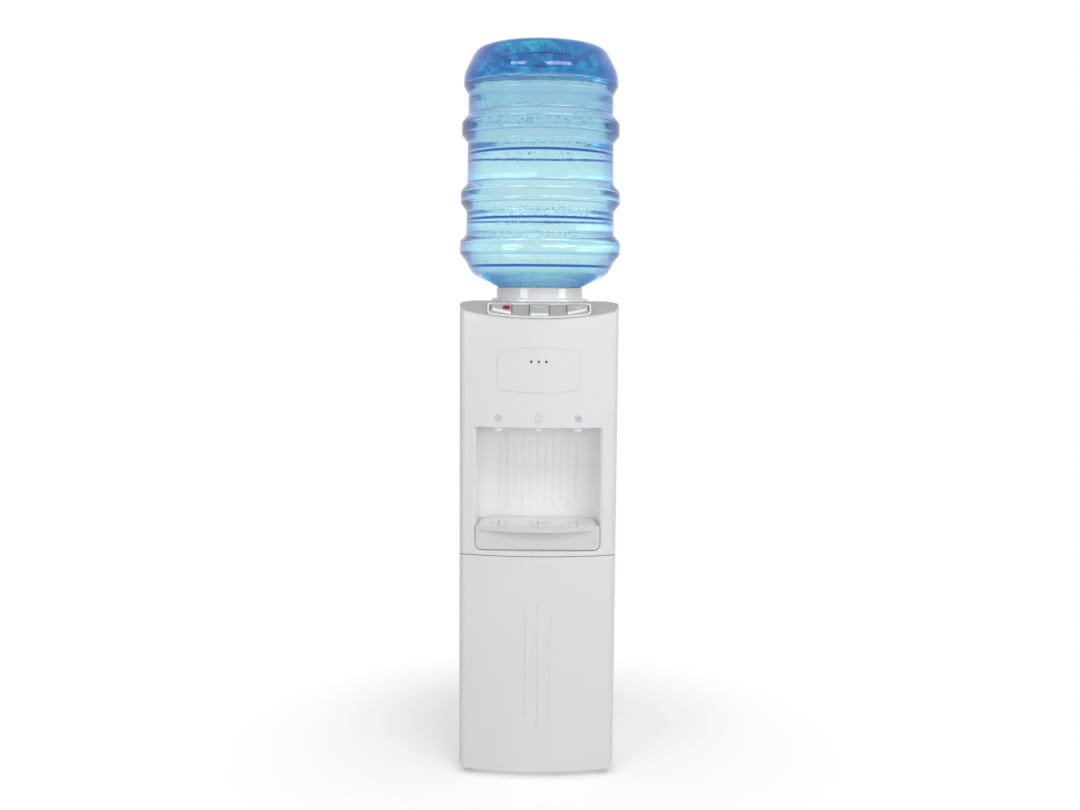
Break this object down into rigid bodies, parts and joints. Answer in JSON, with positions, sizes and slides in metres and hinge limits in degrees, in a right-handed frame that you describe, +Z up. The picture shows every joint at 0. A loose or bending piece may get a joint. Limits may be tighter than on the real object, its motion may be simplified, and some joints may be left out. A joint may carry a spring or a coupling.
{
  "type": "water cooler",
  "caption": "Floor-standing bottled water cooler with hot, room and cold push buttons, a dispensing alcove, a pull-out drip tray and an inverted blue bottle.",
  "frame": {"origin": "on the floor, under the middle of the box round the whole cooler", "axes": "+Z up; the bowed front looks towards -Y; +X to the right seen from the front"},
  "size_m": [0.2752, 0.298, 1.219],
  "materials": {
    "front_white": "gloss",
    "alcove_white": "gloss",
    "collar_white": "gloss",
    "cover_grey": "satin",
    "button_white": "satin",
    "lock_red": "gloss",
    "badge_white": "gloss",
    "lamp_lens": "gloss",
    "tap_white": "satin",
    "bottle_blue": "gloss",
    "water": "gloss",
    "cap_blue": "satin",
    "side_white": "gloss",
    "zinc_sheet": "satin",
    "tank_steel": "satin",
    "black_steel": "satin",
    "copper": "satin",
    "insulation": "matte",
    "black_rubber": "matte",
    "silicone": "satin",
    "black_plastic": "satin",
    "grey_inner": "matte",
    "board_green": "satin",
    "spring_steel": "satin",
    "rocker_red": "gloss",
    "rocker_green": "gloss",
    "screw_steel": "satin"
  },
  "bodies": {
    "cabinet": {"base_plate": "zinc_sheet", "feet": "black_rubber", "left_side_panel": "side_white", "right_side_panel": "side_white", "back_panel": "zinc_sheet", "upper_front_panel": "front_white", "lower_front_panel": "front_white", "top_cover": "cover_grey", "button_trim": "front_white", "button_carrier": "grey_inner", "hot_button_spring": "spring_steel", "room_button_spring": "spring_steel", "cold_button_spring": "spring_steel", "hot_tap_body": "tap_white", "room_tap_body": "tap_white", "cold_tap_body": "tap_white", "badge_panel": "badge_white", "indicator_lamps": "lamp_lens", "indicator_board": "board_green", "alcove_liner": "alcove_white", "bottle_seat": "collar_white", "bottle_probe": "grey_inner", "cold_tank": "tank_steel", "tank_lid": "grey_inner", "tank_foam": "insulation", "evaporator_coil": "copper", "tank_shelf": "zinc_sheet", "hot_tank": "tank_steel", "heater_band": "tank_steel", "hot_tank_jacket": "insulation", "hot_tank_bracket": "zinc_sheet", "hot_thermostats": "black_plastic", "water_hoses": "silicone", "drain_pipes": "silicone", "drain_outlets": "black_plastic", "compressor": "black_steel", "compressor_mounts": "black_rubber", "compressor_bolts": "screw_steel", "condenser": "black_steel", "filter_drier": "copper", "refrigerant_pipes": "copper", "switch_housings": "black_plastic", "power_inlet": "black_plastic", "back_screws": "screw_steel"},
    "bottle": {"bottle": "bottle_blue", "bottle_water": "water", "bottle_cap": "cap_blue"},
    "hot_button": {"hot_button": "button_white", "hot_plunger": "grey_inner"},
    "room_button": {"room_button": "button_white", "room_plunger": "grey_inner"},
    "cold_button": {"cold_button": "button_white", "cold_plunger": "grey_inner"},
    "hot_lock": {"hot_lock_slider": "lock_red"},
    "drip_tray": {"drip_tray": "alcove_white"},
    "drip_grille": {"drip_grille": "alcove_white"},
    "hot_switch": {"hot_switch_rocker": "rocker_red"},
    "cold_switch": {"cold_switch_rocker": "rocker_green"},
    "hot_drain_cap": {"hot_drain_cap": "black_plastic"},
    "cold_drain_cap": {"cold_drain_cap": "black_plastic"}
  },
  "joints": [
    {"name": "bottle_lift", "type": "slide", "parent": "cabinet", "child": "bottle", "axis": [0, 0, 1], "range_m": [0, 0.15]},
    {"name": "hot_press", "type": "slide", "parent": "cabinet", "child": "hot_button", "axis": [0, 0, -1], "range_m": [0, 0.005], "stiffness_N_per_m": 400, "springref_m": -0.01, "deforming": ["hot_button_spring"]},
    {"name": "room_press", "type": "slide", "parent": "cabinet", "child": "room_button", "axis": [0, 0, -1], "range_m": [0, 0.005], "stiffness_N_per_m": 400, "springref_m": -0.01, "deforming": ["room_button_spring"]},
    {"name": "cold_press", "type": "slide", "parent": "cabinet", "child": "cold_button", "axis": [0, 0, -1], "range_m": [0, 0.005], "stiffness_N_per_m": 400, "springref_m": -0.01, "deforming": ["cold_button_spring"]},
    {"name": "hot_lock_slide", "type": "slide", "parent": "hot_button", "child": "hot_lock", "axis": [0, 0.809, 0.5878], "range_m": [0, 0.005]},
    {"name": "tray_slide", "type": "slide", "parent": "cabinet", "child": "drip_tray", "axis": [0, -1, 0], "range_m": [0, 0.13]},
    {"name": "grille_lift", "type": "slide", "parent": "drip_tray", "child": "drip_grille", "axis": [0, 0, 1], "range_m": [0, 0.06]},
    {"name": "hot_switch_rock", "type": "hinge", "parent": "cabinet", "child": "hot_switch", "pos_m": [-0.075, 0.12695, 0.282], "axis": [-1, 0, 0], "range_deg": [0, 20]},
    {"name": "cold_switch_rock", "type": "hinge", "parent": "cabinet", "child": "cold_switch", "pos_m": [-0.041, 0.12695, 0.282], "axis": [-1, 0, 0], "range_deg": [0, 20]},
    {"name": "hot_drain_turn", "type": "hinge", "parent": "cabinet", "child": "hot_drain_cap", "pos_m": [0.012, 0.12695, 0.282], "axis": [0, -1, 0], "range_deg": [0, 720]},
    {"name": "cold_drain_turn", "type": "hinge", "parent": "cabinet", "child": "cold_drain_cap", "pos_m": [0.072, 0.12695, 0.282], "axis": [0, -1, 0], "range_deg": [0, 720]}
  ]
}
